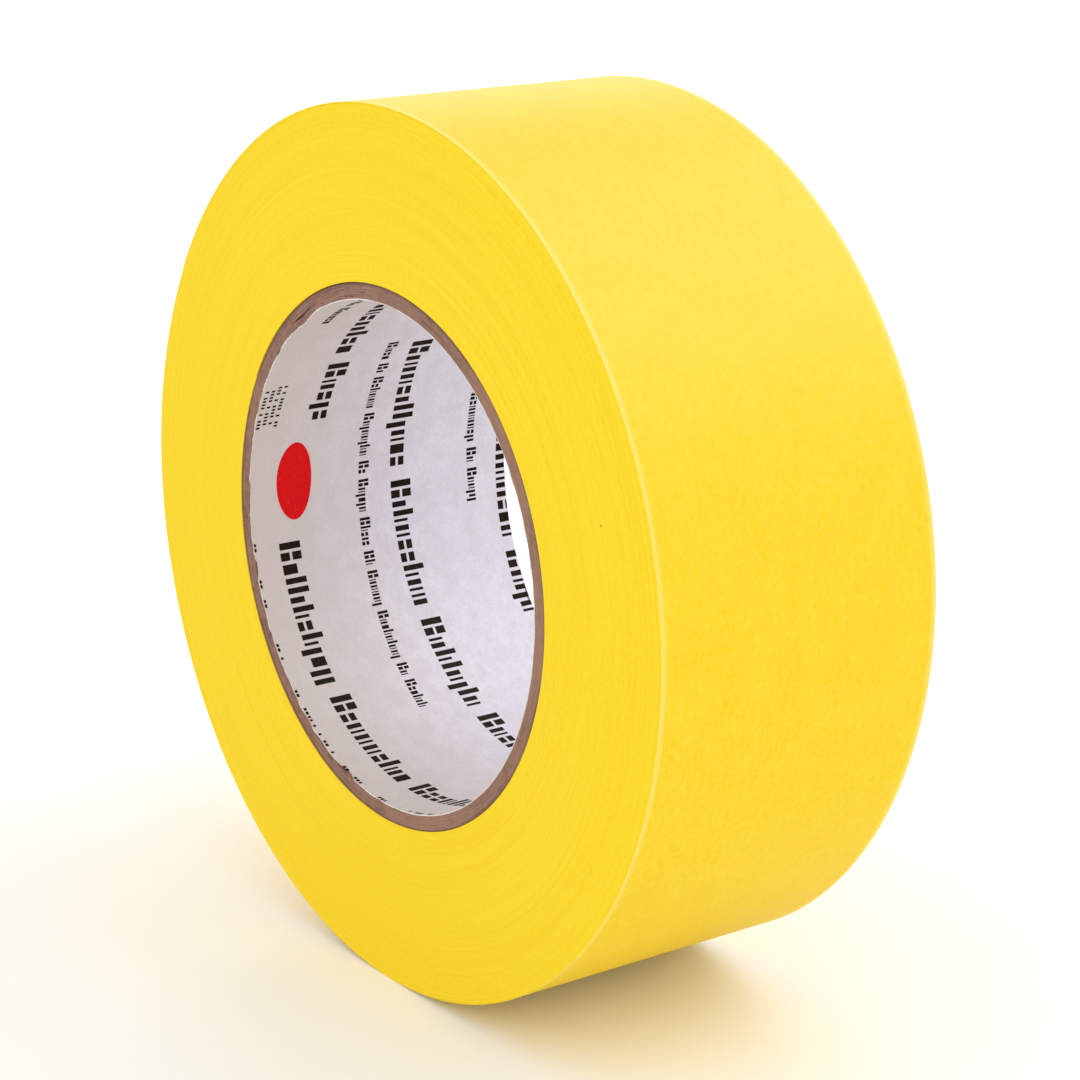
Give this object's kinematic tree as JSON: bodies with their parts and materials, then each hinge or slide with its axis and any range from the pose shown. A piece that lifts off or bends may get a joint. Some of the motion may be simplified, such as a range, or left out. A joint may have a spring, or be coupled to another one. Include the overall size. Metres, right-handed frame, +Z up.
{
  "type": "masking tape roll",
  "caption": "Full roll of yellow crepe paper masking tape wound on a spiral-wound paperboard core with a white paper liner; the cut end peels up from the roll.",
  "frame": {"origin": "on the bore's axis, halfway between the wound tape's two sides", "axes": "+Y along the roll's axis, with the front side facing -Y; +Z up, with the roll standing on its tread"},
  "size_m": [0.1328, 0.0486, 0.1328],
  "materials": {
    "yellow_paper": "smooth crepe paper, matt with a faint sheen",
    "kraft_board": "cut edge of brown kraft paperboard, matt",
    "white_liner": "smooth white paper, matt"
  },
  "bodies": {
    "roll": {"core_liner": "white_liner", "core_ply_1": "kraft_board", "core_ply_2": "kraft_board", "core_ply_3": "kraft_board", "core_ply_4": "kraft_board", "core_ply_5": "kraft_board", "wound_tape": "yellow_paper", "outer_turn": "yellow_paper"},
    "tape_end_1": {"tape_end_1": "yellow_paper"},
    "tape_end_2": {"tape_end_2": "yellow_paper"},
    "tape_end_3": {"tape_end_3": "yellow_paper"},
    "tape_end_4": {"tape_end_4": "yellow_paper"},
    "tape_end_5": {"tape_end_5": "yellow_paper"}
  },
  "joints": [
    {"name": "peel_1", "type": "hinge", "parent": "roll", "child": "tape_end_1", "pos_m": [-0.02762, 0, 0.06049], "axis": [0, 1, 0], "range_deg": [0, 24]},
    {"name": "peel_2", "type": "hinge", "parent": "tape_end_1", "child": "tape_end_2", "pos_m": [-0.03468, 0, 0.05674], "axis": [0, 1, 0], "range_deg": [0, 24]},
    {"name": "peel_3", "type": "hinge", "parent": "tape_end_2", "child": "tape_end_3", "pos_m": [-0.04124, 0, 0.05217], "axis": [0, 1, 0], "range_deg": [0, 24]},
    {"name": "peel_4", "type": "hinge", "parent": "tape_end_3", "child": "tape_end_4", "pos_m": [-0.04721, 0, 0.04685], "axis": [0, 1, 0], "range_deg": [0, 24]},
    {"name": "peel_5", "type": "hinge", "parent": "tape_end_4", "child": "tape_end_5", "pos_m": [-0.05249, 0, 0.04085], "axis": [0, 1, 0], "range_deg": [0, 24]}
  ],
  "couplings": [
    {"joint": "peel_2", "follows": "peel_1", "ratio": 1},
    {"joint": "peel_3", "follows": "peel_1", "ratio": 1},
    {"joint": "peel_4", "follows": "peel_1", "ratio": 1},
    {"joint": "peel_5", "follows": "peel_1", "ratio": 1}
  ]
}
